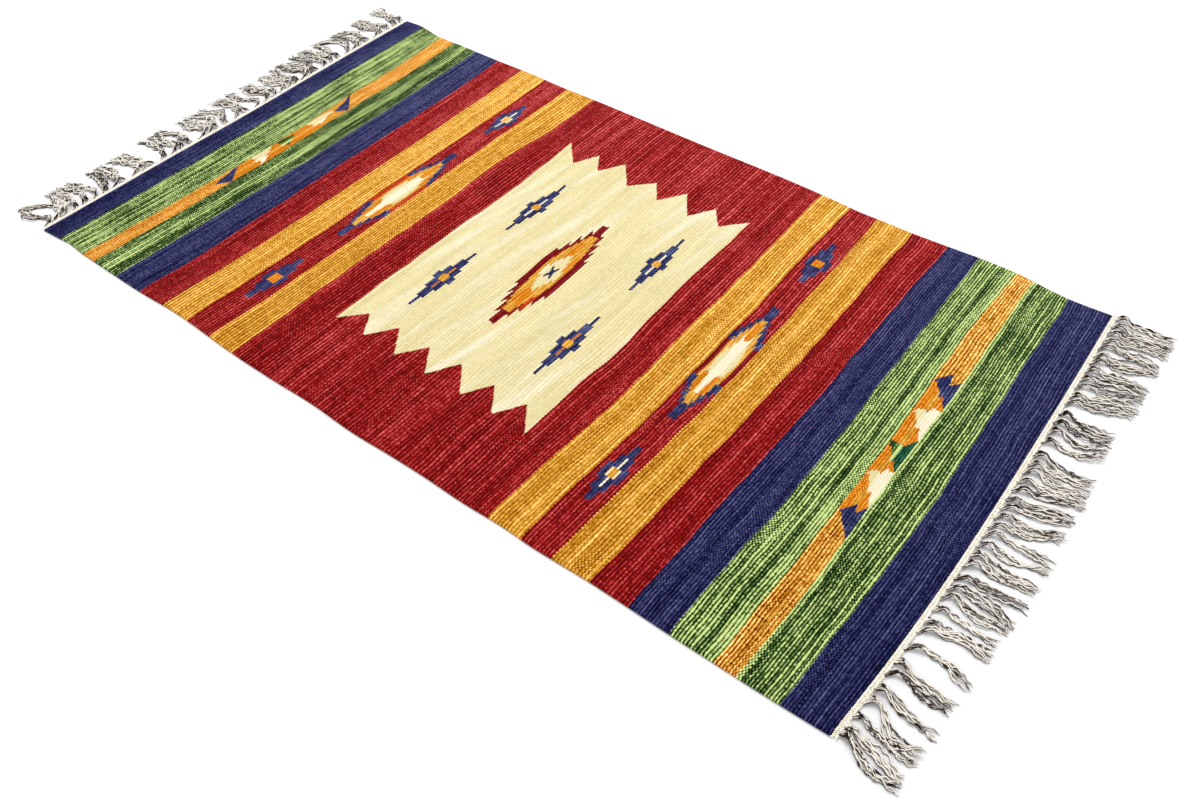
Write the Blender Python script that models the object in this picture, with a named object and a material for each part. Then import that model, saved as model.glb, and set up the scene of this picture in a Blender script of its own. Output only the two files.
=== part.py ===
"""Flat-woven cotton rug with a knotted-off warp fringe at each end.

Three pieces: the woven field and, at each end, a narrow twined heading with
its fringe.  Rug coordinates: x runs from the far end of the field to the
near end, y from the near selvedge to the far selvedge, z up from the floor.
The finished rug is then centred on the origin.
"""
import math
import random

import bmesh
import bpy
from mathutils import Matrix, Vector

MM = 0.001

# Woven field
FIELD_LENGTH = 1600 * MM
FIELD_WIDTH = 915 * MM
FIELD_THICKNESS = 4.0 * MM

# Selvedges: place along the rug, then how far each edge stands out of straight
SELVEDGE_COLUMNS = ("along", "near_out", "far_out")
SELVEDGE_ROWS = (
    (0, 2.7, 3.0),
    (45, 0.0, 6.0),
    (80, -2.5, 1.0),
    (114, 0.0, -4.0),
    (180, 1.5, -3.0),
    (275, 2.7, -3.0),
    (385, 0.0, -1.0),
    (435, 2.0, -2.7),
    (500, 5.5, -1.5),
    (600, 7.0, -1.0),
    (700, 5.5, -1.5),
    (790, 9.0, -2.0),
    (870, 7.0, -1.5),
    (930, 6.4, -1.0),
    (1006, 8.0, -1.5),
    (1098, 6.4, -4.6),
    (1143, 8.0, -7.3),
    (1189, 7.0, -6.0),
    (1245, 5.5, -5.5),
    (1300, 6.0, -2.5),
    (1372, 7.0, 1.8),
    (1441, 7.0, 1.8),
    (1486, 7.0, -3.7),
    (1532, 6.5, -8.0),
    (1600, 5.0, -5.0),
)

# Ends: share of the width, then how far each end bows along +x
END_COLUMNS = ("across", "far_end", "near_end")
END_ROWS = (
    (0.00, 0.0, -7.0),
    (0.13, 1.0, -1.0),
    (0.30, 3.0, 6.0),
    (0.486, 5.0, 5.0),
    (0.70, 3.0, 2.0),
    (0.867, 2.0, -1.0),
    (1.00, 3.0, -5.0),
)

# Prouder weft rows that run across the field
RIB_SEED = 11
RIB_HEIGHT = 0.6 * MM
RIB_HALF_WIDTH = 2.6 * MM
RIB_PITCH_LEAST = 10 * MM
RIB_PITCH_MOST = 30 * MM

# Twined heading at each end
PIECE_GAP = 0.3 * MM
HEADING_WIDTH = 8.5 * MM
HEADING_THICKNESS = 4.0 * MM
HEADING_SHOULDER = 1.2 * MM
HEADING_CUT_SPACING = 4.0 * MM

# Fringe locks: three to a bundle, flat side down
LOCKS_PER_BUNDLE = 3
LOCK_WIDTH = 2.4 * MM
LOCK_HEIGHT = 2.1 * MM
LOCK_ROOT_PITCH = 2.8 * MM
LOCK_ROOT_DEPTH = 4.5 * MM
LOCK_ROOT_HEIGHTS = (0.7 * MM, 1.3 * MM, 0.9 * MM)
FRINGE_SEED = 23
REACH_VARIATION = 3.0 * MM
WAVE_HEIGHT = 2.2 * MM
WAVE_LENGTH = 52 * MM
WAVE_SHIFT_LENGTH = 300 * MM

# A lock's steps: share of its reach, height in mm of its underside over the floor
LOCK_STEPS = (
    (0.07, 1.4),
    (0.17, 2.3),
    (0.38, 0.0),
    (0.58, 0.0),
    (0.79, 0.0),
    (1.00, 0.0),
)

# Clumps of bundles, from the near selvedge to the far one
CLUMP_COLUMNS = ("bundles", "root_from", "root_to", "tip_from", "tip_to", "reach")
NEAR_CLUMPS = (
    (2, 7, 18, -24, 4, 92),
    (2, 35, 57, 20, 41, 94),
    (1, 82, 82, 60, 74, 96),
    (2, 108, 131, 96, 130, 92),
    (1, 155, 155, 145, 163, 94),
    (3, 186, 228, 197, 236, 96),
    (2, 250, 268, 248, 274, 99),
    (1, 289, 289, 294, 308, 101),
    (2, 312, 337, 322, 344, 99),
    (2, 355, 374, 366, 392, 101),
    (2, 394, 413, 420, 446, 96),
    (2, 434, 453, 458, 484, 97),
    (3, 474, 512, 494, 530, 98),
    (2, 533, 552, 538, 560, 94),
    (2, 585, 606, 602, 627, 91),
    (2, 630, 652, 637, 664, 89),
    (5, 676, 760, 704, 788, 99),
    (3, 783, 820, 812, 840, 99),
    (4, 842, 905, 860, 917, 100),
)
FAR_CLUMPS = (
    (2, 8, 22, -6, 18, 88),
    (4, 44, 108, 60, 108, 90),
    (6, 130, 238, 140, 234, 86),
    (4, 262, 326, 264, 324, 92),
    (4, 348, 412, 348, 418, 88),
    (3, 436, 490, 438, 490, 91),
    (2, 514, 534, 508, 532, 86),
    (2, 555, 574, 550, 574, 84),
    (3, 596, 634, 590, 633, 89),
    (3, 656, 698, 659, 706, 93),
    (2, 719, 740, 718, 742, 90),
    (3, 762, 806, 761, 806, 86),
    (3, 826, 866, 824, 861, 88),
    (2, 887, 907, 892, 924, 92),
)

MATERIALS = {
    "woven_field": ((0.33, 0.025, 0.03), 0.92),
    "fringe_far": ((0.80, 0.74, 0.60), 0.95),
    "fringe_near": ((0.80, 0.74, 0.60), 0.95),
}


def column(rows, names, wanted):
    """One named column of a table."""
    place = names.index(wanted)
    return [row[place] for row in rows]


def read_between(places, values, place):
    """The value at a place, in a straight line between two rows."""
    for index in range(1, len(places)):
        if place <= places[index] or index == len(places) - 1:
            before = places[index - 1]
            share = (place - before) / (places[index] - before)
            return values[index - 1] + share * (values[index] - values[index - 1])


def end_bow(across, end):
    """How far one end of the field lies along +x, at a share of the width."""
    shares = column(END_ROWS, END_COLUMNS, "across")
    return read_between(shares, column(END_ROWS, END_COLUMNS, end), across) * MM


def selvedge(share, name):
    """How far a selvedge stands out, at a share of the field's length."""
    places = column(SELVEDGE_ROWS, SELVEDGE_COLUMNS, "along")
    values = column(SELVEDGE_ROWS, SELVEDGE_COLUMNS, name)
    return read_between(places, values, share * FIELD_LENGTH / MM) * MM


def field_point(share_along, share_across, height):
    """A point of the field, from its shares of the length and the width."""
    near = -selvedge(share_along, "near_out")
    far = FIELD_WIDTH + selvedge(share_along, "far_out")
    left = end_bow(share_across, "far_end")
    right = FIELD_LENGTH + end_bow(share_across, "near_end")
    return Vector((left + share_along * (right - left),
                   near + share_across * (far - near),
                   height))


def fresh_scene():
    """Remove every object that the scene starts with."""
    for thing in list(bpy.data.objects):
        bpy.data.objects.remove(thing, do_unlink=True)


def collection(name):
    """A new collection in the scene."""
    made = bpy.data.collections.new(name)
    bpy.context.scene.collection.children.link(made)
    return made


def add_object(name, data, place):
    """A new object in one collection."""
    made = bpy.data.objects.new(name, data)
    place.objects.link(made)
    return made


def matte_material(name):
    """The matte cotton of one piece."""
    colour, roughness = MATERIALS[name]
    material = bpy.data.materials.new(name)
    material.use_nodes = True
    shader = material.node_tree.nodes["Principled BSDF"]
    shader.inputs["Base Color"].default_value = (*colour, 1.0)
    shader.inputs["Roughness"].default_value = roughness
    shader.inputs["Metallic"].default_value = 0.0
    return material


def cut_across(bm, faces, axis, place):
    """Cut some faces at one place along an axis, and return the cut's points."""
    normal = Vector((0, 0, 0))
    normal[axis] = 1.0
    geometry = set(faces)
    for face in faces:
        geometry.update(face.edges)
        geometry.update(face.verts)
    point = normal * place
    cut = bmesh.ops.bisect_plane(bm, geom=list(geometry), plane_co=point, plane_no=normal)
    return [item for item in cut["geom_cut"] if isinstance(item, bmesh.types.BMVert)]


def unit_slab(bm, thickness, cuts_along, cuts_across):
    """A slab one unit square, cut through at shares of its length and width."""
    bmesh.ops.create_cube(bm, size=1.0)
    for point in bm.verts:
        point.co = Vector((point.co.x + 0.5, point.co.y + 0.5,
                           (point.co.z + 0.5) * thickness))
    for axis, cuts in ((0, cuts_along), (1, cuts_across)):
        for place in cuts:
            cut_across(bm, list(bm.faces), axis, place)


def rib_places():
    """Where the prouder rows lie, in shares of the length."""
    dice = random.Random(RIB_SEED)
    stations = column(SELVEDGE_ROWS, SELVEDGE_COLUMNS, "along")
    margin = RIB_HALF_WIDTH + 1.5 * MM
    places = []
    place = RIB_PITCH_LEAST
    while place < FIELD_LENGTH - RIB_PITCH_LEAST:
        if all(abs(place - station * MM) > margin for station in stations):
            places.append(place / FIELD_LENGTH)
        place += dice.uniform(RIB_PITCH_LEAST, RIB_PITCH_MOST)
    return places


def raise_rib(bm, place):
    """Lift one row of the top face into a low ridge."""
    half = RIB_HALF_WIDTH / FIELD_LENGTH
    crest = []
    for cut in (place - half, place + half, place):
        top = [face for face in bm.faces if face.normal.z > 0.5]
        crest = cut_across(bm, top, 0, cut)
    for point in crest:
        point.co.z += RIB_HEIGHT
    bm.normal_update()


def woven_field(place):
    """The field: flat underneath, its outline and its rows as they lie."""
    stations = column(SELVEDGE_ROWS, SELVEDGE_COLUMNS, "along")[1:-1]
    shares = [station * MM / FIELD_LENGTH for station in stations]
    across = column(END_ROWS, END_COLUMNS, "across")[1:-1]
    bm = bmesh.new()
    unit_slab(bm, FIELD_THICKNESS, shares, across)
    bm.normal_update()
    for rib in rib_places():
        raise_rib(bm, rib)
    for point in bm.verts:
        point.co = field_point(*point.co)
    mesh = bpy.data.meshes.new("woven_field")
    bm.to_mesh(mesh)
    bm.free()
    made = add_object("woven_field", mesh, place)
    mesh.materials.append(matte_material("woven_field"))
    return made


def end_point(outward, across, height, end):
    """A point a distance past one end of the field, at a share of the width."""
    share = 1.0 if end == "near_end" else 0.0
    point = field_point(share, across, height)
    point.x += outward if end == "near_end" else -outward
    return point


def heading_cuts(locks):
    """Shares of the width where the heading has a joint: its bends, and
    midway between bundles."""
    bends = column(END_ROWS, END_COLUMNS, "across")[1:-1]
    roots = [lock[0] for lock in locks]
    cuts = list(bends)
    for index in range(LOCKS_PER_BUNDLE, len(roots), LOCKS_PER_BUNDLE):
        middle = (roots[index - 1] + roots[index]) / 2 / FIELD_WIDTH
        if all(abs(middle - bend) * FIELD_WIDTH > HEADING_CUT_SPACING for bend in bends):
            cuts.append(middle)
    return sorted(cuts)


def heading(name, end, cuts, place):
    """The twined heading, a narrow strip with sloping sides along one end."""
    bm = bmesh.new()
    unit_slab(bm, HEADING_THICKNESS, (), cuts)
    for point in bm.verts:
        share, across, height = point.co
        inset = HEADING_SHOULDER * height / HEADING_THICKNESS
        outward = PIECE_GAP + inset + share * (HEADING_WIDTH - 2 * inset)
        point.co = end_point(outward, across, height, end)
    bmesh.ops.recalc_face_normals(bm, faces=bm.faces)
    mesh = bpy.data.meshes.new(name)
    bm.to_mesh(mesh)
    bm.free()
    mesh.materials.append(matte_material(name))
    return add_object(name, mesh, place)


def lock_wave(along, across):
    """Sideways sway of a lock; near neighbours sway together."""
    turn = 2 * math.pi * (along / WAVE_LENGTH + across / WAVE_SHIFT_LENGTH)
    slow = 2 * math.pi * (along / (1.7 * WAVE_LENGTH) - across / WAVE_SHIFT_LENGTH)
    return WAVE_HEIGHT * (0.6 * math.sin(turn) + 0.4 * math.sin(slow))


def ease(share):
    """A share that starts and ends gently."""
    return share * share * (3 - 2 * share)


def lock_path(root, height, tip, reach, end):
    """The middle of a lock's underside, from inside the heading to its tip."""
    outside = PIECE_GAP + HEADING_WIDTH
    start = outside - LOCK_ROOT_DEPTH
    points = [end_point(start, root / FIELD_WIDTH, height, end)]
    points[0].y = root
    for share, lift in LOCK_STEPS:
        along = outside + share * (reach - outside)
        sideways = root + (tip - root) * ease(share)
        sideways += lock_wave(along, root) * ease(min(1.0, 2 * share))
        point = end_point(along, root / FIELD_WIDTH, lift * MM, end)
        point.y = sideways
        points.append(point)
    return points


def clump_locks(row, dice):
    """Root, height of the root, tip and reach of each lock in one clump."""
    clump = dict(zip(CLUMP_COLUMNS, row))
    bundles = clump["bundles"]
    count = bundles * LOCKS_PER_BUNDLE
    margin = 0.5 * LOCK_WIDTH
    tip_from = clump["tip_from"] * MM + margin
    tip_step = (clump["tip_to"] * MM - margin - tip_from) / (count - 1)
    locks = []
    for index in range(count):
        bundle, lock = divmod(index, LOCKS_PER_BUNDLE)
        share = bundle / (bundles - 1) if bundles > 1 else 0.5
        middle = clump["root_from"] + share * (clump["root_to"] - clump["root_from"])
        root = middle * MM + (lock - (LOCKS_PER_BUNDLE - 1) / 2) * LOCK_ROOT_PITCH
        reach = clump["reach"] * MM + dice.uniform(-REACH_VARIATION, REACH_VARIATION)
        locks.append((root, LOCK_ROOT_HEIGHTS[lock], tip_from + index * tip_step, reach))
    return locks


def lock_section(place):
    """The three-sided section of a lock, flat side down."""
    curve = bpy.data.curves.new("lock_section", "CURVE")
    curve.dimensions = "2D"
    spline = curve.splines.new("POLY")
    half = 0.5 * LOCK_WIDTH
    corners = ((-half, 0.0), (half, 0.0), (0.0, LOCK_HEIGHT))
    spline.points.add(len(corners) - 1)
    for point, corner in zip(spline.points, corners):
        point.co = (corner[0], corner[1], 0.0, 1.0)
    spline.use_cyclic_u = True
    made = add_object("lock_section", curve, place)
    made.hide_render = True
    made.display_type = "WIRE"
    return made


def locks_mesh(name, paths, section, place):
    """All locks of one fringe as one mesh of closed tubes, kept as a cutter."""
    curve = bpy.data.curves.new(name, "CURVE")
    curve.dimensions = "3D"
    curve.twist_mode = "Z_UP"
    curve.bevel_mode = "OBJECT"
    curve.bevel_object = section
    curve.use_fill_caps = True
    for path in paths:
        spline = curve.splines.new("POLY")
        spline.points.add(len(path) - 1)
        for point, spot in zip(spline.points, path):
            point.co = (*spot, 1.0)
    strung = add_object(name + "_strung", curve, place)
    bpy.context.view_layer.update()
    evaluated = strung.evaluated_get(bpy.context.evaluated_depsgraph_get())
    mesh = bpy.data.meshes.new_from_object(evaluated)
    bpy.data.objects.remove(strung, do_unlink=True)
    bm = bmesh.new()
    bm.from_mesh(mesh)
    bmesh.ops.remove_doubles(bm, verts=bm.verts, dist=0.00001)
    bmesh.ops.recalc_face_normals(bm, faces=bm.faces)
    bm.to_mesh(mesh)
    bm.free()
    made = add_object(name, mesh, place)
    made.hide_render = True
    made.display_type = "WIRE"
    return made


def fringe(name, end, clumps, section, parts, cutters):
    """One heading with its locks rooted in it."""
    dice = random.Random(FRINGE_SEED)
    locks = [lock for row in clumps for lock in clump_locks(row, dice)]
    made = heading(name, end, heading_cuts(locks), parts)
    paths = [lock_path(*lock, end) for lock in locks]
    tubes = locks_mesh(name + "_locks", paths, section, cutters)
    joined = made.modifiers.new("locks", "BOOLEAN")
    joined.operation = "UNION"
    joined.solver = "EXACT"
    joined.object = tubes
    return made, tubes


def centre_on_origin(parts, others):
    """Shift every mesh so that the rug's box is centred and stands on z = 0."""
    bpy.context.view_layer.update()
    graph = bpy.context.evaluated_depsgraph_get()
    spots = []
    for thing in parts:
        shown = thing.evaluated_get(graph)
        spots += [point.co.copy() for point in shown.to_mesh().vertices]
        shown.to_mesh_clear()
    low = Vector([min(spot[axis] for spot in spots) for axis in range(3)])
    high = Vector([max(spot[axis] for spot in spots) for axis in range(3)])
    middle = Vector(((low.x + high.x) / 2, (low.y + high.y) / 2, low.z))
    for thing in parts + others:
        thing.data.transform(Matrix.Translation(-middle))


def main():
    fresh_scene()
    parts = collection("kilim_rug")
    cutters = collection("cutters")
    section = lock_section(cutters)
    field = woven_field(parts)
    near, near_locks = fringe("fringe_near", "near_end", NEAR_CLUMPS, section, parts, cutters)
    far, far_locks = fringe("fringe_far", "far_end", FAR_CLUMPS, section, parts, cutters)
    centre_on_origin([field, near, far], [near_locks, far_locks])


main()
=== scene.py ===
"""Dresses the kilim rug: woven cloth, twined headings, knotted-out fringes and a pale stage."""

import functools
import math
import random

import bpy
import numpy as np
from mathutils import Matrix, Vector


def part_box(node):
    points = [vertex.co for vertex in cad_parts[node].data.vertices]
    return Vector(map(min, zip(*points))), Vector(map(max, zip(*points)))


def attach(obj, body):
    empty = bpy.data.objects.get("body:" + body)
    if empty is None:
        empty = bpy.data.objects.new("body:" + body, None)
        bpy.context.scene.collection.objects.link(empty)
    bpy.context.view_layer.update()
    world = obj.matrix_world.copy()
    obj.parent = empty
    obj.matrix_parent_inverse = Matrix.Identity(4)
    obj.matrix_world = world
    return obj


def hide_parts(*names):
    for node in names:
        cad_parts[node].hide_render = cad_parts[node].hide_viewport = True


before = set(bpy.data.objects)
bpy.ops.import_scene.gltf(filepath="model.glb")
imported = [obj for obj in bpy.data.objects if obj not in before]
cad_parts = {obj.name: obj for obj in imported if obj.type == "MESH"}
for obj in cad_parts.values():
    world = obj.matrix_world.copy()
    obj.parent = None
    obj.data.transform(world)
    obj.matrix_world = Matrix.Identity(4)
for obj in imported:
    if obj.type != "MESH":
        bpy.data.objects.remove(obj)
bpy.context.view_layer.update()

bl_info = {
    "name": "Kilim Rug",
    "version": (1, 0, 0),
    "blender": (4, 5, 0),
    "location": "3D View > Sidebar > Kilim",
    "description": "Weaves a flat cotton rug with its headings, fringes and stage",
    "category": "Object",
}

MM = 0.001
CLOTH_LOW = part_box("woven_field")[0]
NEAR_SELVEDGE_OUT = 9.0
# Selvedges in mm: how far in their waviness reaches, and how their rounding lowers the top
EDGE_REACH = 60.0
EDGE_PLACES = (0.0, 1.2, 3.2)
EDGE_ROUNDING = (1.0, 0.35, 0.0)

# Selvedges in mm: place along the rug, then how far each edge stands out of straight
SELVEDGE_COLUMNS = ("along", "near_out", "far_out")
SELVEDGE_ROWS = (
    (0, 2.7, 3.0), (45, 0.0, 6.0), (80, -2.5, 1.0), (114, 0.0, -4.0), (180, 1.5, -3.0),
    (275, 2.7, -3.0), (385, 0.0, -1.0), (435, 2.0, -2.7), (500, 5.5, -1.5), (600, 7.0, -1.0),
    (700, 5.5, -1.5), (790, 9.0, -2.0), (870, 7.0, -1.5), (930, 6.4, -1.0), (1006, 8.0, -1.5),
    (1098, 6.4, -4.6), (1143, 8.0, -7.3), (1189, 7.0, -6.0), (1245, 5.5, -5.5),
    (1300, 6.0, -2.5), (1372, 7.0, 1.8), (1441, 7.0, 1.8), (1486, 7.0, -3.7), (1532, 6.5, -8.0),
    (1600, 5.0, -5.0),
)

# Stripes in mm along the rug: where each starts, at seven places across it
STRIPE_PLACES = (14, 101, 274, 458, 640, 769, 901)
STRIPE_COLUMNS = ("yarn", "y14", "y101", "y274", "y458", "y640", "y769", "y901")
STRIPE_ROWS = (
    ("navy", 0, 1, 2, 5, 3, 2, 3),
    ("green", 47, 50, 53, 54, 54, 52, 54),
    ("orange", 114, 120, 127, 129, 122, 122, 114),
    ("green", 145, 150, 159, 160, 160, 161, 153),
    ("navy", 210, 212, 218, 220, 220, 218, 213),
    ("red", 275, 281, 282, 282, 282, 282, 277),
    ("yellow", 334, 339, 345, 345, 346, 345, 342),
    ("red", 397, 400, 404, 403, 405, 406, 404),
    ("yellow", 455, 460, 463, 463, 462, 464, 464),
    ("red", 515, 514, 515, 519, 517, 530, 531),
    ("red", 586, 586, 587, 588, 592, 588, 588),
    ("red", 997, 997, 997, 999, 996, 997, 997),
    ("yellow", 1054, 1056, 1064, 1062, 1061, 1059, 1056),
    ("red", 1113, 1115, 1123, 1123, 1122, 1117, 1118),
    ("yellow", 1168, 1171, 1177, 1180, 1179, 1176, 1172),
    ("red", 1232, 1236, 1239, 1243, 1243, 1241, 1239),
    ("navy", 1295, 1297, 1301, 1306, 1304, 1304, 1305),
    ("green", 1361, 1362, 1368, 1368, 1365, 1363, 1362),
    ("orange", 1428, 1431, 1433, 1433, 1427, 1425, 1429),
    ("green", 1461, 1466, 1467, 1467, 1467, 1463, 1459),
    ("navy", 1523, 1528, 1534, 1534, 1529, 1526, 1523),
    ("end", 1593, 1599, 1605, 1605, 1602, 1599, 1595),
)

# Toothed ends of the cream panel in mm: place along the rug and where the cream ends
TOOTH_COLUMNS = ("along", "across")
NEAR_TEETH = (
    (587, 149), (625, 191), (654, 147), (688, 195), (726, 146), (759, 192), (794, 145),
    (827, 195), (867, 144), (897, 191), (932, 143), (962, 191), (999, 141),
)
FAR_TEETH = (
    (587, 770), (630, 717), (658, 765), (683, 724), (715, 773), (756, 720), (795, 761),
    (826, 717), (860, 767), (897, 713), (927, 760), (958, 720), (999, 765),
)

# Stepped motifs in mm: each yarn, how pointed its steps are, and for each step how far from
# the motif's middle it ends along the rug and how far it reaches across it
PANEL_STEPS = (
    ("navy", 0, ((2.87, 82), (7.44, 57), (13.08, 32.5), (19.42, 9))),
    ("yellow", 0, ((6.04, 9), (7.44, 6))),
)
BAND_STEPS = (
    ("navy", 0, ((5.68, 60), (12.37, 37), (19.42, 15))),
    ("heart", 0, ((8.85, 10),)),
)
CENTRE_STEPS = (
    ("madder", 9, ((7, 154), (14, 133), (21, 108), (27.5, 84), (34, 60))),
    ("yellow", 6, ((8, 119), (11.5, 106), (15, 92), (18, 76), (20, 60), (22, 38))),
    ("milk", 7, ((4, 56), (8, 44), (12, 34), (17, 20))),
)
LARGE_STEPS = (
    ("navy", 5, ((7.5, 150), (13, 119), (18, 103), (23, 87), (28, 71))),
    ("edge", 0, ((28.3, 47),)),
    ("yellow", 7, ((5, 114), (9, 104), (13, 90), (16, 76), (20, 58))),
    ("milk", 17, ((4, 84), (8, 70), (12, 56), (15.5, 42), (17.5, 22))),
)
# How far apart the rows of weft lie, from a share of the rug's length on
PITCH_COLUMNS = ("from_share", "pitch")
PITCH_ROWS = ((0.0, 5.3), (0.18, 6.0), (0.34, 6.7), (0.62, 5.8), (0.81, 4.9), (1.0, 4.9))
# Width in mm along the rug of the rows that a motif's uneven ends go in
JAG_ROW = 3.0
# Small patches of yarn in the motifs in mm, from a motif's middle
PATCH_COLUMNS = ("patch", "along_from", "along_to", "across_from", "across_to")
PATCH_ROWS = (
    ("slot", -1, 1.9, 9, 31),
    ("core", -1, 9.5, 56, 100),
    ("flank", 13, 19, 8, 58),
    ("glow", 14, 21.5, 58, 100),
    ("star_heart", -1, 4.2, -1, 8),
    ("star_reach", -1, 7, -1, 16.5),
    ("line", -1, 1.5, 10, 33),
    ("rim", 5.6, 8.2, -1, 10),
    ("flame", 6, 14, 36, 84),
    ("side_flame", 11, 16.5, 34, 70),
    ("tip", -1, 4.5, 56, 104),
)
# Middles of the motifs in mm, along the rug and across it, and how far a group stands from one
PANEL_FROM, PANEL_TO = 588.0, 998.0
HALF_WAY = 800.0
PANEL_MIDDLE, PANEL_APART = (796.0, 450.0), (134.5, 122.0)
CENTRE_MIDDLE = (798.0, 448.0)
BAND_MIDDLE, BAND_APART = (792.3, 455.0), (359.2, 298.0)
# How much each unevenness of the yarn shows in plain yarn and in the mixed green yarn; the groove row
# is painted shade in the gaps between warps
TONE_COLUMNS = ("unevenness", "plain", "mixed")
TONE_ROWS = (
    ("groove", -0.6, -0.1),
    ("stitch", 1.0, 0.24),
    ("row", 1.1, 0.44),
    ("streak", 2.0, 1.0),
    ("fibre", 1.3, 0.2),
)
# Motifs in the orange stripes in mm: below which line each yarn lies, at shares of the stripe
ZIGZAG_PLACES = (0.0, 0.2, 0.4, 0.55, 0.65, 0.8, 1.0)
GRASS_SHARES = ((0.25, "moss"), (0.42, "green"), (0.58, "teal"))
FAR_ZIGZAG = (
    ("navy", 631, 623, 614, 608, 604, 597, 589),
    ("orange", 629, 606, 569, 575, 578, 584, 591),
    ("milk", 488, 566, 561, 542, 529, 512, 500),
    ("flame", 497, 503, 511, 517, 521, 520, 520),
    ("grass", 430, 469, 458, 451, 446, 438, 425),
    ("flame", 420, 424, 427, 430, 432, 434, 437),
    ("milk", 412, 403, 394, 388, 383, 376, 367),
    ("flame", 358, 360, 362, 363, 364, 365, 367),
    ("navy", 333, 325, 317, 311, 307, 301, 293),
    ("orange", 331, 301, 270, 272, 277, 284, 292),
)
NEAR_ZIGZAG = (
    ("navy", 606, 615, 625, 632, 608, 615, 625),
    ("flame", 606, 596, 587, 579, 575, 567, 560),
    ("milk", 526, 532, 538, 542, 545, 550, 556),
    ("flame", 529, 521, 511, 503, 498, 490, 480),
    ("grass", 456, 456, 456, 456, 456, 466, 480),
    ("flame", 446, 437, 428, 421, 417, 412, 405),
    ("milk", 379, 385, 391, 395, 397, 401, 407),
    ("flame", 381, 371, 360, 352, 347, 339, 328),
    ("navy", 294, 303, 312, 320, 306, 312, 325),
    ("orange", 298, 293, 284, 277, 273, 266, 257),
)

# Soft bulges of the wefts in mm: where, how far, and how wide each way
BULGE_COLUMNS = ("along", "across", "shift", "along_spread", "across_spread")
BULGE_ROWS = (
    (1002, 350, 6, 34, 55),
    (1002, 560, -2, 34, 60),
    (590, 560, 3, 40, 60),
)

# Clumps of fringe bundles in mm, from the near selvedge to the far one
CLUMP_COLUMNS = ("bundles", "root_from", "root_to", "tip_from", "tip_to", "reach")
NEAR_CLUMPS = (
    (2, 7, 18, -24, 4, 92), (2, 35, 57, 20, 41, 94), (1, 82, 82, 60, 74, 96),
    (2, 108, 131, 96, 130, 92), (1, 155, 155, 145, 163, 94), (3, 186, 228, 197, 236, 96),
    (2, 250, 268, 248, 274, 99), (1, 289, 289, 294, 308, 101), (2, 312, 337, 322, 344, 99),
    (2, 355, 374, 366, 392, 101), (2, 394, 413, 420, 446, 96), (2, 434, 453, 458, 484, 97),
    (3, 474, 512, 494, 530, 98), (2, 533, 552, 538, 560, 94), (2, 585, 606, 602, 627, 91),
    (2, 630, 652, 637, 664, 89), (5, 676, 760, 704, 788, 99), (3, 783, 820, 812, 840, 99),
    (4, 842, 905, 860, 917, 100),
)
FAR_CLUMPS = (
    (2, 8, 22, -6, 18, 88), (4, 44, 108, 60, 108, 90), (6, 130, 238, 140, 234, 86),
    (4, 262, 326, 264, 324, 92), (4, 348, 412, 348, 418, 88), (3, 436, 490, 438, 490, 91),
    (2, 514, 534, 508, 532, 86), (2, 555, 574, 550, 574, 84), (3, 596, 634, 590, 633, 89),
    (3, 656, 698, 659, 706, 93), (2, 719, 740, 718, 742, 90), (3, 762, 806, 761, 806, 86),
    (3, 826, 866, 824, 861, 88), (2, 887, 907, 892, 924, 92),
)
# How the two ends differ: which way they point, where along a yarn it leans out furthest, and
# how much livelier it waves
ENDS = {
    "near": {"outward": 1, "peak": 0.16, "curl": 1.0, "seed_step": 0, "clumps": NEAR_CLUMPS},
    "far": {"outward": -1, "peak": 0.34, "curl": 1.9, "seed_step": 100, "clumps": FAR_CLUMPS},
}
# Where the fringe's first and last bundles start to lie in a way of their own, in mm across
NEAR_CORNER_TO = 25
FAR_CORNER_FROM = 850
YARN_POINTS = 47
YARN_START = 7.0
YARN_TOP = 12.5
NARROWEST_HALF = 4.5
# Heading in mm: its rows of stitches, how far they tuck in, how high they lie, and their slant
HEADING_ROWS = 2
HEADING_TUCK = 0.9
HEADING_HEIGHT = 2.5
STITCH_SLANT = 38

# Fine rows to a rib that the pattern is set out in, and the length in mm of a turn of the ply
FINE_ROWS = 4
PLY_LENGTH = 3.2
PERCEIVED_GAMMA = 2.2
FLOOR_HALF = 9.0
CAMERA_PLACE = Vector((0.95309, -1.10349, 1.25429))
CAMERA_AIM = Vector((0.23344, -0.18338, 0.0))
CAMERA_RIGHT = Vector((0.794216, 0.607553, -0.010004))


def linear(level):
    """Linear light of a level from 0 to 255."""
    share = level / 255
    return share / 12.92 if share <= 0.04045 else ((share + 0.055) / 1.055) ** 2.4


def colour(red, green, blue):
    """Linear colour of a dye given in levels from 0 to 255."""
    return (linear(red), linear(green), linear(blue), 1.0)


def setting(kind, name, description, default, least=0, **more):
    """A size or colour that a user can change."""
    return kind(name=name, description=description, default=default, min=least, **more)


size_setting = functools.partial(
    setting, bpy.props.FloatProperty, precision=5, unit="LENGTH", subtype="DISTANCE"
)
share_setting = functools.partial(setting, bpy.props.FloatProperty, subtype="FACTOR")
count_setting = functools.partial(setting, bpy.props.IntProperty, least=1)
colour_setting = functools.partial(
    setting, bpy.props.FloatVectorProperty, max=1, size=3, subtype="COLOR"
)


def dye(name, description, *levels):
    """A dye that a user can change, in levels from 0 to 255."""
    return colour_setting(name, description, colour(*levels)[:3])


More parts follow.
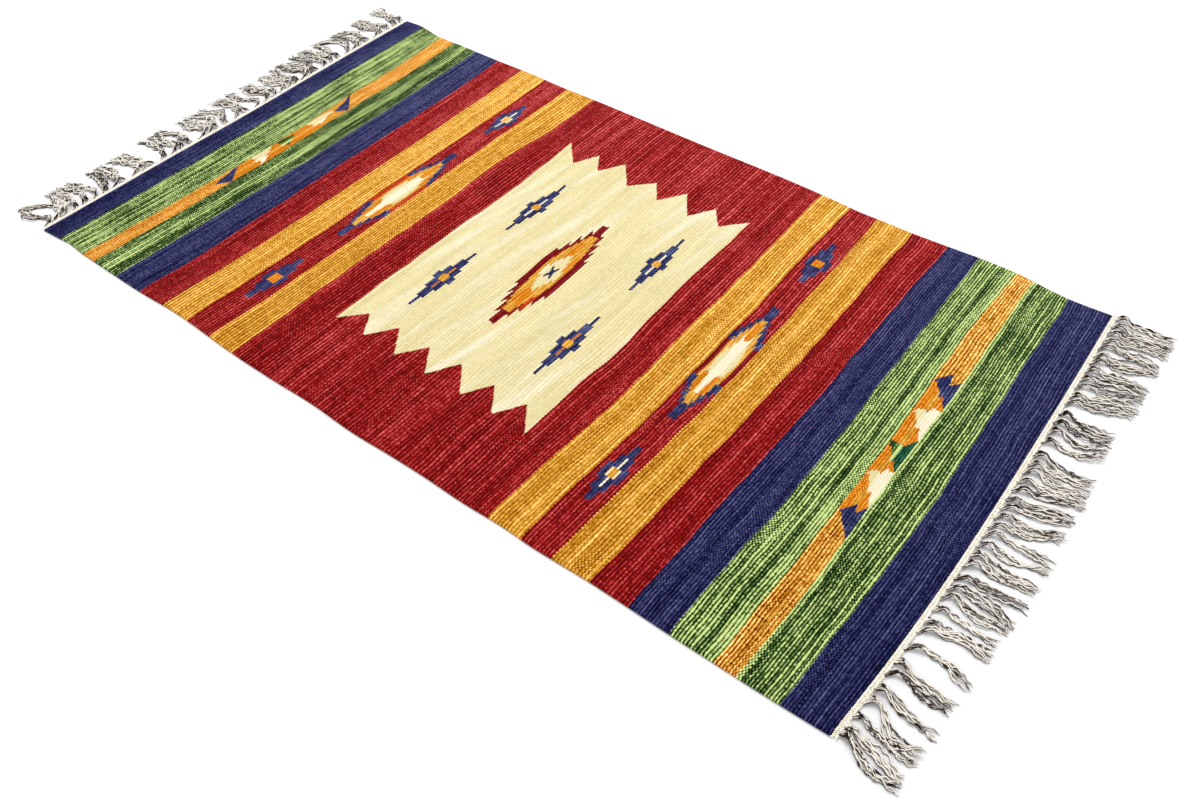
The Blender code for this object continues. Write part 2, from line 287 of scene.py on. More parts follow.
class KilimCloth(bpy.types.PropertyGroup):
    width: size_setting("Width", "Width of the cloth off the loom", 0.915)
    length: size_setting("Length", "Length of the cloth off the loom", 1.6)
    thickness: size_setting("Thickness", "Thickness between the ribs", 3.4 * MM)
    ribs: count_setting("Ribs", "Weft ribs along the rug", 284)
    warps: count_setting("Warps", "Warp ends across the rug", 295)
    rib_height: size_setting("Rib height", "Height of a weft rib", 0.5 * MM)
    proud_height: size_setting("Proud height", "Extra height of the proudest ribs", 0.5 * MM)
    ripple_height: size_setting("Ripple height", "Height of the cloth's soft ripples", 0.7 * MM)
    seed: count_setting("Seed", "Changes which ribs stand proud", 11)


class KilimDyes(bpy.types.PropertyGroup):
    navy: dye("Navy", "Dark blue weft", 45, 47, 89)
    red: dye("Red", "Madder red weft", 152, 26, 26)
    yellow: dye("Yellow", "Golden yellow weft", 219, 159, 60)
    orange: dye("Orange", "Orange weft", 217, 153, 58)
    green: dye("Green", "Light green weft", 205, 224, 142)
    leaf: dye("Leaf", "Dark green weft", 36, 58, 26)
    moss: dye("Moss", "Middle green weft", 98, 126, 62)
    madder: dye("Madder", "Dark red weft", 122, 12, 22)
    teal: dye("Teal", "Bluish green weft", 30, 82, 56)
    slate: dye("Slate", "Faded blue weft of the motifs", 72, 78, 120)
    rust: dye("Rust", "Orange red weft", 192, 62, 24)
    amber: dye("Amber", "Strong orange weft of the motifs", 217, 130, 26)
    gold: dye("Gold", "Paler orange weft", 228, 156, 62)
    cream: dye("Cream", "Cream weft", 229, 215, 163)
    white: dye("White", "White weft", 242, 232, 200)
    warp: dye("Warp", "Undyed warp yarn", 255, 248, 236)


class KilimFringe(bpy.types.PropertyGroup):
    yarns: count_setting("Yarns", "Yarns to a bundle", 6)
    yarn_width: size_setting("Yarn width", "Width of one plied yarn", 2.5 * MM)
    hump: size_setting("Hump", "Height that a bundle rises to by its root", 6.0 * MM)
    opening: size_setting("Opening", "Half width that a bundle opens to", 9.0 * MM)
    crimp: size_setting("Crimp", "How far a yarn waves to each side", 1.3 * MM)
    lean: size_setting("Lean", "How far a bundle swings out to one side", 10.0 * MM)
    heading_width: size_setting("Heading width", "Width of the twined heading", 9.2 * MM)
    seed: count_setting("Seed", "Changes how the yarns lie", 23)


class KilimStage(bpy.types.PropertyGroup):
    floor: colour_setting("Floor", "Colour of the floor", (0.96, 0.96, 0.96))
    fill: share_setting("Fill", "Strength of the light from all round", 0.85)
    key: share_setting("Key", "Strength of the large soft light", 1.0)
    lens: bpy.props.FloatProperty(name="Lens", description="Camera's lens in mm", default=33.784)


# Signs and words that a number in a node tree takes, and the Math node's operation for each
SIGNS = {
    "__add__": "ADD",
    "__radd__": "ADD",
    "__sub__": "SUBTRACT",
    "__mul__": "MULTIPLY",
    "__truediv__": "DIVIDE",
    "__abs__": "ABSOLUTE",
    "above": "GREATER_THAN",
    "below": "LESS_THAN",
    "least": "MINIMUM",
    "most": "MAXIMUM",
    "floor": "FLOOR",
    "fraction": "FRACT",
    "power": "POWER",
    "sine": "SINE",
    "cosine": "COSINE",
    "exponential": "EXPONENT",
}


class Value:
    """A number in a node tree, which takes the usual signs."""

    def __init__(self, tree, socket):
        self.tree = tree
        self.socket = socket

    def then(self, operation, *others):
        """The result of one Math node that starts from this number."""
        node = self.tree.nodes.new("ShaderNodeMath")
        node.operation = operation
        for socket, operand in zip(node.inputs, (self, *others)):
            plug(self.tree, socket, operand)
        return Value(self.tree, node.outputs[0])

    def __rsub__(self, other):
        return (self * -1.0).then("ADD", other)

    def between(self, least, most):
        return self.above(least) * self.below(most)

    def clamped(self):
        return self.most(0.0).least(1.0)


for name, operation in SIGNS.items():
    setattr(Value, name, functools.partialmethod(Value.then, operation))


def plug(tree, socket, operand):
    """Links a node's output to a socket, or sets the socket."""
    if isinstance(operand, Value):
        tree.links.new(operand.socket, socket)
    elif isinstance(operand, bpy.types.NodeSocket):
        tree.links.new(operand, socket)
    else:
        socket.default_value = operand


def step_node(tree, kind, inputs=None, **settings):
    """A new node with its settings and inputs."""
    node = tree.nodes.new(kind)
    for name, value in settings.items():
        setattr(node, name, value)
    for name, operand in (inputs or {}).items():
        plug(tree, node.inputs[name], operand)
    return node


def choose(share, first, second):
    """A colour that goes from the first to the second with share."""
    node = step_node(share.tree, "ShaderNodeMix", {0: share}, data_type="RGBA")
    plug(share.tree, node.inputs[6], first)
    plug(share.tree, node.inputs[7], second)
    return node.outputs[2]


def combined(tree, first, second=0.0, third=0.0):
    """A vector from three numbers."""
    node = tree.nodes.new("ShaderNodeCombineXYZ")
    for socket, operand in zip(node.inputs, (first, second, third)):
        plug(tree, socket, operand)
    return node.outputs[0]


def parted(tree, vector):
    """The three numbers of a vector."""
    parts = step_node(tree, "ShaderNodeSeparateXYZ", {"Vector": vector})
    return [Value(tree, part) for part in parts.outputs]


def hashed(first, second=0.0, third=0.0):
    """A number from 0 to 1 that only depends on three others."""
    place = combined(first.tree, first, second, third)
    node = step_node(first.tree, "ShaderNodeTexWhiteNoise", {"Vector": place})
    return Value(first.tree, node.outputs["Value"])


def clouded(first, second, third=0.0, detail=2.0):
    """A soft number about 0.5 that changes over one unit of its inputs."""
    sockets = {"Vector": combined(first.tree, first, second, third), "Scale": 1.0, "Detail": detail}
    return Value(first.tree, step_node(first.tree, "ShaderNodeTexNoise", sockets).outputs[0])


def arrange(tree, rows=14):
    """Sets a tree's nodes out in columns."""
    for i, node in enumerate(tree.nodes):
        node.location = (190 * (i // rows), -190 * (i % rows))


def named_group(name, sizes):
    """A Geometry Nodes tree with named number inputs."""
    tree = bpy.data.node_groups.new(name, "GeometryNodeTree")
    tree.interface.new_socket("Geometry", in_out="INPUT", socket_type="NodeSocketGeometry")
    tree.interface.new_socket("Geometry", in_out="OUTPUT", socket_type="NodeSocketGeometry")
    for size, default in sizes.items():
        kind = "NodeSocketInt" if isinstance(default, int) else "NodeSocketFloat"
        socket = tree.interface.new_socket(size, in_out="INPUT", socket_type=kind)
        socket.default_value = default
    inside = tree.nodes.new("NodeGroupInput")
    values = {size: Value(tree, inside.outputs[size]) for size in sizes}
    return tree, inside.outputs["Geometry"], values


def finish_group(tree, geometry, material):
    """Ends a tree in real geometry with its material."""
    real = step_node(tree, "GeometryNodeRealizeInstances", {"Geometry": geometry})
    dressed = step_node(
        tree, "GeometryNodeSetMaterial", {"Geometry": real.outputs[0], "Material": material}
    )
    out = tree.nodes.new("NodeGroupOutput")
    tree.links.new(dressed.outputs[0], out.inputs[0])
    arrange(tree)


def apply_group(obj, tree, sizes):
    """Runs a tree on an object, and leaves a plain mesh."""
    modifier = obj.modifiers.new(tree.name, "NODES")
    modifier.node_group = tree
    for item in tree.interface.items_tree:
        if item.in_out == "INPUT" and item.name in sizes:
            modifier[item.identifier] = sizes[item.name]
    bpy.context.view_layer.update()
    graph = bpy.context.evaluated_depsgraph_get()
    made = bpy.data.meshes.new_from_object(obj.evaluated_get(graph), depsgraph=graph)
    obj.modifiers.clear()
    old = obj.data
    obj.data = made
    made.name = obj.name
    bpy.data.meshes.remove(old)
    return obj


def new_piece(name, mesh):
    """An object for a mesh, at the origin."""
    obj = bpy.data.objects.new(name, mesh)
    bpy.context.scene.collection.objects.link(obj)
    return obj


def smooth_read(at, places, values):
    """Reads a table on a smooth line through its rows."""
    places = np.asarray(places, float)
    values = np.asarray(values, float)
    slopes = np.gradient(values, places)
    at = np.clip(np.asarray(at, float), places[0], places[-1])
    i = np.clip(np.searchsorted(places, at, side="right") - 1, 0, len(places) - 2)
    gap = places[i + 1] - places[i]
    t = (at - places[i]) / gap
    start = (2 * t**3 - 3 * t**2 + 1) * values[i] + (t**3 - 2 * t**2 + t) * gap * slopes[i]
    end = (3 * t**2 - 2 * t**3) * values[i + 1] + (t**3 - t**2) * gap * slopes[i + 1]
    return start + end


def column(rows, columns, name):
    """One named column of a table."""
    return [row[columns.index(name)] for row in rows]


def selvedge(at, side):
    """How far a selvedge stands out of straight at places along the rug."""
    places = column(SELVEDGE_ROWS, SELVEDGE_COLUMNS, "along")
    return smooth_read(at, places, column(SELVEDGE_ROWS, SELVEDGE_COLUMNS, side))


def middle_places():
    """Where the stripes start along the middle of the rug."""
    return column(STRIPE_ROWS, STRIPE_COLUMNS, "y458")


def place_along(along, across):
    """Real place along the rug of a weft that crosses its middle at along."""
    starts = np.array([row[1:] for row in STRIPE_ROWS], float)
    across = np.clip(across, STRIPE_PLACES[0], STRIPE_PLACES[-1])
    shifts = [smooth_read(across, STRIPE_PLACES, row) for row in starts]
    places = np.array(
        [np.interp(along, middle_places(), column_shift) for column_shift in np.array(shifts).T]
    )
    for middle, beside, shift, along_spread, across_spread in BULGE_ROWS:
        near_along = np.exp(-(((along - middle) / along_spread) ** 2))
        near_across = np.exp(-(((across - beside) / across_spread) ** 2))
        places = places + shift * near_across[:, None] * near_along[None, :]
    return places


def end_place(end, across):
    """Real place along the rug of one of its ends."""
    row = STRIPE_ROWS[-1 if end == "near" else 0][1:]
    return smooth_read(across, STRIPE_PLACES, row)


def in_frame(along, across, height):
    """Points in the part's frame, in metres, of places on the rug in mm."""
    return np.stack(
        np.broadcast_arrays(
            np.asarray(along) * MM + CLOTH_LOW.x,
            (np.asarray(across) + NEAR_SELVEDGE_OUT) * MM + CLOTH_LOW.y,
            np.asarray(height) * MM,
        ),
        axis=-1,
    )


def weft_rows(cloth):
    """Places along the rug in mm, and the number of the row of weft at each."""
    starts = middle_places()
    shares = np.array(column(PITCH_ROWS, PITCH_COLUMNS, "from_share"))
    places = starts[0] + shares * (starts[-1] - starts[0])
    steps = np.diff(places) / column(PITCH_ROWS, PITCH_COLUMNS, "pitch")[:-1]
    numbers = np.concatenate([[0.0], np.cumsum(steps)])
    return places, numbers * cloth.ribs / numbers[-1]


def add_values(mesh, **attributes):
    """Gives the points of a mesh their named numbers."""
    for name, values in attributes.items():
        mesh.attributes.new(name, "FLOAT", "POINT").data.foreach_set("value", values)


def cloth_grid(cloth):
    """Wefts and warps that the cloth's mesh follows, in mm."""
    places, numbers = weft_rows(cloth)
    wefts = np.interp(np.linspace(0, cloth.ribs, cloth.ribs * 3 + 1), numbers, places)
    width = cloth.width / MM
    edge = np.array(EDGE_PLACES)
    warps = np.concatenate([edge, np.linspace(9, width - 9, 51), width - edge[::-1]])
    return wefts, warps


def cloth_mesh(cloth):
    """The cloth as one closed mesh, its ends and selvedges as uneven as woven."""
    wefts, warps = cloth_grid(cloth)
    width = cloth.width / MM
    along = place_along(wefts, warps).T
    near_out = selvedge(wefts, "near_out")[:, None]
    far_out = selvedge(wefts, "far_out")[:, None]
    across = warps - near_out * np.exp(-warps / EDGE_REACH)
    across = across + far_out * np.exp((warps - width) / EDGE_REACH)
    inset = np.minimum(warps, width - warps)
    rounding = np.interp(inset, EDGE_PLACES, EDGE_ROUNDING)
    thickness = cloth.thickness / MM
    top = np.broadcast_to(thickness - 1.0 * rounding, along.shape)
    under = np.broadcast_to(1.0 + 1.0 * rounding, along.shape)
    points = np.concatenate(
        [in_frame(along, across, top).reshape(-1, 3), in_frame(along, across, under).reshape(-1, 3)]
    )
    rows, columns = along.shape
    index = np.arange(rows * columns).reshape(rows, columns)
    below = index + rows * columns

    def strip(first, second, third, fourth):
        return np.stack([first, second, third, fourth], axis=-1).reshape(-1, 4)

    faces = np.concatenate(
        [
            strip(index[:-1, :-1], index[1:, :-1], index[1:, 1:], index[:-1, 1:]),
            strip(below[:-1, 1:], below[1:, 1:], below[1:, :-1], below[:-1, :-1]),
            strip(below[:-1, 0], below[1:, 0], index[1:, 0], index[:-1, 0]),
            strip(index[:-1, -1], index[1:, -1], below[1:, -1], below[:-1, -1]),
            strip(index[0, :-1], index[0, 1:], below[0, 1:], below[0, :-1]),
            strip(below[-1, :-1], below[-1, 1:], index[-1, 1:], index[-1, :-1]),
        ]
    )
    mesh = bpy.data.meshes.new("woven_cloth")
    mesh.from_pydata(points.tolist(), [], faces.tolist())
    grid = np.stack(np.meshgrid(wefts, warps, indexing="ij"), axis=-1).reshape(-1, 2)
    grid = np.concatenate([grid, grid]) * MM
    side = np.concatenate([np.ones(rows * columns), -np.ones(rows * columns)])
    corners = np.zeros(len(mesh.loops), int)
    mesh.loops.foreach_get("vertex_index", corners)
    layer = mesh.uv_layers.new(name="weave")
    layer.data.foreach_set("uv", grid[corners].ravel())
    row = np.interp(grid[:, 0] / MM, *weft_rows(cloth))
    add_values(mesh, weft=grid[:, 0], warp=grid[:, 1], side=side, row=row)
    mesh.polygons.foreach_set("use_smooth", np.ones(len(mesh.polygons), bool))
    mesh.update()
    return mesh


def named_value(tree, name):
    """A float attribute of the geometry."""
    node = tree.nodes.new("GeometryNodeInputNamedAttribute")
    node.data_type = "FLOAT"
    node.inputs["Name"].default_value = name
    return Value(tree, node.outputs["Attribute"])


def stored(tree, geometry, name, value, kind="FLOAT"):
    """Geometry that has an attribute on its points."""
    sockets = {"Geometry": geometry, "Name": name, "Value": value}
    settings = {"data_type": kind, "domain": "POINT"}
    return step_node(tree, "GeometryNodeStoreNamedAttribute", sockets, **settings).outputs[0]


def relief_tree(material, sizes):
    """Raises the weft ribs, prouder rows and soft ripples on the cloth."""
    tree, geometry, size = named_group("Kilim relief", sizes)
    weft = named_value(tree, "weft")
    warp = named_value(tree, "warp")
    side = named_value(tree, "side")
    ribs = named_value(tree, "row")
    rib = abs((ribs * math.pi).sine())
    proud = hashed(ribs.floor(), size["Seed"] * 1.0).power(3.0)
    patch = clouded(warp * 7.0, ribs.floor() * 0.9, size["Seed"] * 1.0)
    ripple = clouded(weft * 5.0, warp * 3.0, size["Seed"] * 1.0, 1.0)
    height = rib * (size["Rib height"] + proud * patch * 1.6 * size["Proud height"])
    upper = side.above(0.5)
    lift = height * (upper * 1.6 - 0.6) + upper * ripple * size["Ripple height"]
    offset = combined(tree, 0.0, 0.0, lift)
    moved = step_node(tree, "GeometryNodeSetPosition", {"Geometry": geometry, "Offset": offset})
    finish_group(tree, moved.outputs[0], material)
    return tree


def table_line(value, places, heights):
    """A number read from a table on straight lines between its rows."""
    tree = value.tree
    first, last = places[0], places[-1]
    node = tree.nodes.new("ShaderNodeFloatCurve")
    curve = node.mapping.curves[0]
    lowest = min(heights) - 1
    span = max(heights) + 1 - lowest
    points = [
        ((x - first) / (last - first), (y - lowest) / span) for x, y in zip(places, heights)
    ]
    curve.points[0].location = points[0]
    curve.points[1].location = points[-1]
    for point in points[1:-1]:
        curve.points.new(*point)
    for point in curve.points:
        point.handle_type = "VECTOR"
    node.mapping.update()
    plug(tree, node.inputs["Value"], (value - first) / (last - first))
    return Value(tree, node.outputs[0]) * span + lowest


def tooth_line(along, rows):
    """Where the cream panel ends, in mm across the rug."""
    places = column(rows, TOOTH_COLUMNS, "along")
    return table_line(along, places, column(rows, TOOTH_COLUMNS, "across"))


def stripe_colour(along, dyes):
    """Colour of the stripe at a place along the rug."""
    shade = dyes[STRIPE_ROWS[0][0]]
    for yarn, start in zip(
        column(STRIPE_ROWS, STRIPE_COLUMNS, "yarn")[1:-1], middle_places()[1:-1]
    ):
        shade = choose(along.above(start), shade, dyes[yarn])
    return shade


def stripe_mask(along, wanted):
    """1 in the stripes of one yarn, and 0 elsewhere."""
    starts = middle_places()
    mask = None
    for i, row in enumerate(STRIPE_ROWS[:-1]):
        if row[0] == wanted:
            part = along.between(starts[i], starts[i + 1])
            mask = part if mask is None else mask + part
    return mask


def stepped_line(away, steps, point):
    """How far a stepped outline reaches at a distance from its middle, its steps pointed."""
    places, reaches = [0.0], []
    for end, reach in steps:
        places += [end - 0.1, end]
        reaches += [reach - point * bool(reaches), reach]
    return table_line(away, [*places, end + 1.0], [*reaches, -9.0, -9.0])


def outlined(laid, away_along, away_across, rows, dyes):
    """Lays yarns over a colour, each within its own outline about a motif's middle."""
    shade, calm = laid
    for i, (yarn, point, steps) in enumerate(rows):
        inside = away_across.below(stepped_line(away_along, steps, point))
        shade = choose(inside, shade, dyes[yarn])
        calm = calm if i > 1 else calm.most(inside)
    return shade, calm


def zigzag(laid, row_along, along, across, edges, rows, dyes):
    """Lays the pointed motif of an orange stripe over a colour."""
    shade, calm = laid
    share = ((along - edges[0]) / (edges[1] - edges[0])).clamped()
    flame = choose(share.between(0.34, 0.58), dyes["amber"], dyes["yellow"])
    grass = dyes["leaf"]
    for start, yarn in GRASS_SHARES:
        grass = choose(share.above(start), grass, dyes[yarn])
    milk = choose(share.above(0.46), dyes["cream"], dyes["white"])
    local = {**dyes, "flame": flame, "grass": grass, "milk": milk}
    inner = shade
    lines = [table_line(share, ZIGZAG_PLACES, heights) for _, *heights in rows]
    frayed = across + jagged(along, 6.0, 13.0)
    for line, (yarn, *_) in zip(lines, rows):
        edge = frayed if yarn in ("milk", "flame") else across
        inner = choose(edge.below(line), inner, local[yarn])
    stripe = row_along.between(edges[0], edges[1])
    inside = stripe * across.below(lines[0]) * across.above(lines[-1])
    return choose(inside, shade, inner), calm.most(inside)


def mirrored(value, middle, half):
    """Distance from the nearer of two places that are half from a middle."""
    return abs(abs(value - middle) - half)


def jagged(along, number, reach):
    """Uneven ends of the rows of a motif, in mm."""
    return (hashed((along / JAG_ROW).floor(), number, 3.0) - 0.5) * reach


def patch(name, along, across):
    """1 in one of the small patches of yarn, at distances from a motif's middle."""
    row = PATCH_ROWS[column(PATCH_ROWS, PATCH_COLUMNS, "patch").index(name)]
    return along.between(*row[1:3]) * across.between(*row[3:5])


def pattern(row_along, along, across, dyes):
    """Colour that the weaver chose for a stitch of weft, and 1 where it is in a motif."""
    shade = stripe_colour(row_along, dyes)
    fade = ((clouded(along / 8.0, across / 26.0, 5.0) - 0.5) * 6.0 + 0.2).clamped()
    inks = {**dyes, "navy": choose(fade, dyes["navy"], dyes["slate"])}
    near_line = tooth_line(along, NEAR_TEETH)
    far_line = tooth_line(along, FAR_TEETH)
    panel = along.between(PANEL_FROM, PANEL_TO) * across.above(near_line) * across.below(far_line)
    band = clouded(along / 26.0 - across / 160.0, across / 330.0, 3.0, 1.0)
    pale = ((band - 0.48) * 4.0).clamped()
    shade = choose(panel, shade, choose(pale, dyes["cream"], dyes["white"]))
    right = along.above(HALF_WAY)
    beside = mirrored(along, PANEL_MIDDLE[0], PANEL_APART[0])
    above = mirrored(across, PANEL_MIDDLE[1], PANEL_APART[1])
    laid = outlined((shade, panel * 0.0), beside, above, PANEL_STEPS, inks)
    slot_dye = choose(across.below(PANEL_MIDDLE[1]), dyes["white"], dyes["amber"])
    laid = choose(patch("slot", beside, above), laid[0], slot_dye), laid[1]
    away = along - CENTRE_MIDDLE[0]
    beside = abs(away)
    away_across = across - CENTRE_MIDDLE[1]
    above = abs(away_across)
    uneven = above + jagged(away, right, 4.0)
    inks["milk"] = choose(pale, dyes["cream"], dyes["white"])
    laid = outlined(laid, beside, uneven, CENTRE_STEPS, inks)
    ragged = above + jagged(away, 4.0, 16.0)
    low = away_across.below(0.0)
    core = patch("core", beside, ragged) * (low + away.below(0.0)).least(1.0)
    flank = patch("flank", away, ragged) * (1.0 - low)
    shade = choose((core + flank).least(1.0), laid[0], dyes["amber"])
    shade = choose(patch("glow", away, ragged) * low, shade, dyes["rust"])
    star = abs(above - beside * 2.2).below(6.0) * patch("star_reach", beside, above)
    star = star.most(patch("star_heart", beside, above))
    laid = choose(star, shade, dyes["navy"]), laid[1]
    beside = mirrored(along, BAND_MIDDLE[0], BAND_APART[0])
    away_across = across - BAND_MIDDLE[1]
    same = 1.0 - abs(right - away_across.above(0.0))
    above = abs(abs(away_across + right * 4.5) - BAND_APART[1] + right * 9.5)
    inks["heart"] = choose(same, dyes["yellow"], dyes["amber"])
    laid = outlined(laid, beside, above, BAND_STEPS, inks)
    marks = patch("line", beside, above) + patch("rim", beside, above)
    laid = choose(marks.least(1.0) * (1.0 - same), laid[0], dyes["white"]), laid[1]
    away_across = away_across + right * 8.0
    low = away_across.below(0.0)
    high = 1.0 - low
    uneven = abs(away_across) + jagged(beside, right + low * 2.0, 8.5)
    inks["edge"] = choose(right, dyes["rust"], dyes["madder"])
    inks["milk"] = choose(beside.above(8.0), dyes["white"], dyes["cream"])
    laid = outlined(laid, beside, uneven, LARGE_STEPS, inks)
    flame = patch("flame", beside, uneven) * low
    flame = flame.most(patch("side_flame", beside, uneven) * high * (1.0 - right))
    flame = flame.most(patch("tip", beside, uneven) * high)
    laid = choose(flame, laid[0], dyes["amber"]), laid[1]
    starts = middle_places()
    laid = zigzag(laid, row_along, along, across, starts[2:4], FAR_ZIGZAG, inks)
    return zigzag(laid, row_along, along, across, starts[18:20], NEAR_ZIGZAG, inks)


def weighed(values, kind):
    """Sum of the yarn's unevennesses and the painted shade between warps, by their weights for one kind
    of yarn.
    """
    total = 0.0
    for name, weight in zip(
        column(TONE_ROWS, TONE_COLUMNS, "unevenness"), column(TONE_ROWS, TONE_COLUMNS, kind)
    ):
        total = total + (values[name] - 0.5) * weight
    return total


def new_material(name):
    """A new material and its empty node tree."""
    material = bpy.data.materials.new(name)
    material.use_nodes = True
    material.node_tree.nodes.clear()
    return material, material.node_tree


def finish_material(tree, shown, height, strength, depth):
    """Ends a tree in matt cotton with fine relief."""
    relief = {"Strength": strength, "Distance": depth, "Height": height}
    bump = step_node(tree, "ShaderNodeBump", relief)
    skin = step_node(
        tree, "ShaderNodeBsdfPrincipled", {"Base Color": shown, "Normal": bump.outputs[0]}
    )
    skin.inputs["Roughness"].default_value = 0.95
    skin.inputs["Specular IOR Level"].default_value = 0.1
    step_node(tree, "ShaderNodeOutputMaterial", {"Surface": skin.outputs[0]})
    arrange(tree)


def cloth_material(cloth, dyes):
    """Weft-faced weave: stitches in rows that half drop in places, dyed by the pattern.

    The pattern is set out in fine rows, four to a rib, so that its edges are stepped as woven.
    The yarn's uneven tone, painted shade and highlight on the ribs and stitches, and a painted light
    gradient across the rug are added in perceived light, the same on each channel.
    """
    material, tree = new_material("field_cotton")
    place = step_node(tree, "ShaderNodeUVMap", uv_map="weave")
    places = parted(tree, place.outputs[0])
    weft, warp = places[0] / MM, places[1] / MM
    start = middle_places()[0]
    middle_warp = cloth.width / MM / 2
    fine_pitch = cloth.length / MM / cloth.ribs / FINE_ROWS
    warp_pitch = cloth.width / MM / cloth.warps
    weft = weft + (clouded(weft / 120.0, warp / 75.0, 1.0, 1.0) - 0.5) * 7.0
    warp = warp + (clouded(weft / 90.0, warp / 60.0, 2.0, 1.0) - 0.5) * 4.0
    ends = warp / warp_pitch
    end_number = ends.floor()
    odd = (end_number * 0.5).fraction() * 2.0
    drop = ((clouded(weft / 60.0, warp / 150.0, 6.0) - 0.52) * 6.0).clamped() * 0.5
    places, numbers = weft_rows(cloth)
    picks = table_line(weft, places.tolist(), numbers.tolist()) + odd * drop
    row = picks.floor()
    away_weft = picks.fraction() - 0.5
    away_warp = ends.fraction() - 0.5
    fine = ((weft - start) / fine_pitch + odd * 0.5).floor()
    fine_along = (fine + 0.5 - odd * 0.5) * fine_pitch + start
    stitch_across = (end_number + 0.5) * warp_pitch
    row_along = fine_along + (odd - 0.5) * (1.2 + fine_along.between(1150.0, 1215.0) * 2.0)
    shade, calm = pattern(row_along, fine_along, stitch_across, dyes)
    values = {
        "row": hashed(row, 0.0, 5.0),
        "stitch": hashed(row, end_number, 7.0 + odd),
        "fibre": hashed(fine, end_number, 9.0),
        "streak": clouded(row * 0.9 + odd * 0.3, warp / 80.0, 4.0),
        # Painted shade in the gaps between warps; the same shape also cuts the bump's groove.
        "groove": (abs(away_warp) * 2.0).power(4.0),
    }
    ridge = ((away_weft * (2 * math.pi)).cosine() + 1.0) * 0.5
    strong = ((clouded(row * 3.7, warp / 130.0, 8.0) - 0.5) * 3.0 + 0.6).clamped()
    green = stripe_mask(row_along, "green")
    coarse = stripe_mask(row_along, "orange")
    golden = coarse * row_along.below(300.0)
    shade = choose(golden * (1.0 - calm), shade, dyes["gold"])
    # Partly painted shade and highlight: the ridge term tips the green lighter on each row's crown and
    # darker between rows; the rest is the mixed yarns' uneven tone.
    melange = (ridge - 0.5) * 0.52 + weighed(values, "mixed") + 0.4
    mixed = tree.nodes.new("ShaderNodeValToRGB")
    plug(tree, mixed.inputs[0], melange)
    stops = mixed.color_ramp.elements
    stops[0].position, stops[0].color = 0.22, dyes["leaf"]
    stops[1].position, stops[1].color = 0.78, dyes["green"]
    middle = stops.new(0.5)
    middle.color = dyes["moss"]
    shade = choose(green, shade, mixed.outputs[0])
    bright = Value(tree, step_node(tree, "ShaderNodeRGBToBW", {"Color": shade}).outputs[0])
    pale = ((bright - 0.42) / 0.24).clamped()
    contrast = 0.1 + ((bright - 0.03) * 1.2).clamped().least(0.045) - pale * 0.108
    contrast = contrast * (1.0 - green * 0.5) * (1.0 + (coarse - golden) * 0.6)
    contrast = contrast * (1.0 - calm * 0.5)
    # Painted shade and highlight: each row is painted lighter on its crown and darker between rows,
    # more where strong is high; the weighed terms are the yarn's uneven tone and the painted shade
    # between warps.
    lift = (ridge - 0.5) * (strong * 2.1 + 0.7) + weighed(values, "plain") - 0.4
    # Painted light: the cloth is painted lighter towards the far selvedge and darker towards the near
    # one.
    lift = lift + (warp - middle_warp) * (0.25 / middle_warp)
    perceived = step_node(tree, "ShaderNodeGamma", {"Color": shade, "Gamma": 1 / PERCEIVED_GAMMA})
    added = lift * contrast
    sockets = {0: perceived.outputs[0], 1: combined(tree, added, added, added)}
    toned = step_node(tree, "ShaderNodeVectorMath", sockets, operation="ADD")
    held = step_node(tree, "ShaderNodeVectorMath", {0: toned.outputs[0]}, operation="MAXIMUM")
    sockets = {"Color": held.outputs[0], "Gamma": PERCEIVED_GAMMA}
    dyed = step_node(tree, "ShaderNodeGamma", sockets)
    height = ridge * (1.0 - values["groove"] * 0.6)
    finish_material(tree, dyed.outputs[0], height, 0.8, 0.7 * MM)
    return material


def yarn_material(name, pale, dark, shadow):
    """Undyed plied cotton with painted shade: darker brown where it faces away from up, under the hump
    by the root, in cloudy patches and along the ply, and along some yarns painted dark as shadows
    between yarns.
    """
    material, tree = new_material(name)
    lay = step_node(tree, "ShaderNodeAttribute", attribute_name="lay")
    along, beside, number = parted(tree, lay.outputs["Vector"])
    along = along / MM
    ply = (along * (2 * math.pi / PLY_LENGTH) + beside * 1.6).sine()
    shade_hash = hashed(number, 1.0, 2.0)
    cloud = clouded(along / 14.0, number * 5.0, 2.0)
    blush = clouded(along / 9.0, number * 3.0, 7.0)
    facing = step_node(tree, "ShaderNodeNewGeometry")
    upward = parted(tree, facing.outputs["Normal"])[2]
    # Painted shadow under the hump that a bundle makes by its root.
    root = (((along - 12.0) / 9.0).power(2.0) * -1.0).exponential()
    # Painted shade: the lit share falls where the surface faces away from up, by the root, in cloudy
    # patches and in the ply's groove.
    painted_light_share = upward - 0.41 - root * 0.4 + (cloud - 0.5) * 1.2 + ply * 0.08
    # Painted shadow: some yarns are painted dark along stretches, as the shadows between yarns.
    painted_shadow_yarn = ((shade_hash - 0.63) * 9.0).clamped() * ((cloud - 0.4) * 9.0).clamped()
    # Painted shade: the shade colour is mixed in by the shadow strength where the lit share is low.
    tone = 1.0 - (1.0 - (painted_light_share * 8.0).clamped() * (1.0 - painted_shadow_yarn)) * shadow
    tinted = choose(((blush - 0.5) * 4.0).clamped() * 0.75, pale, colour(232, 203, 182))
    finish_material(tree, choose(tone, dark, tinted), ply, 0.7, 0.3 * MM)
    return material


def eased(share):
    """Smooth share from 0 to 1."""
    share = np.clip(share, 0, 1)
    return share * share * (3 - 2 * share)


def bundles(end):
    """Root, tip, reach and half width of each bundle of an end, from the clumps."""
    for count, root_from, root_to, tip_from, tip_to, reach in ENDS[end]["clumps"]:
        for i in range(count):
            root = root_from if count == 1 else root_from + (root_to - root_from) * i / (count - 1)
            tip = tip_from + (tip_to - tip_from) * (i + 0.5) / count
            yield root, tip, reach, max(abs(tip_to - tip_from) / count * 0.5, NARROWEST_HALF)


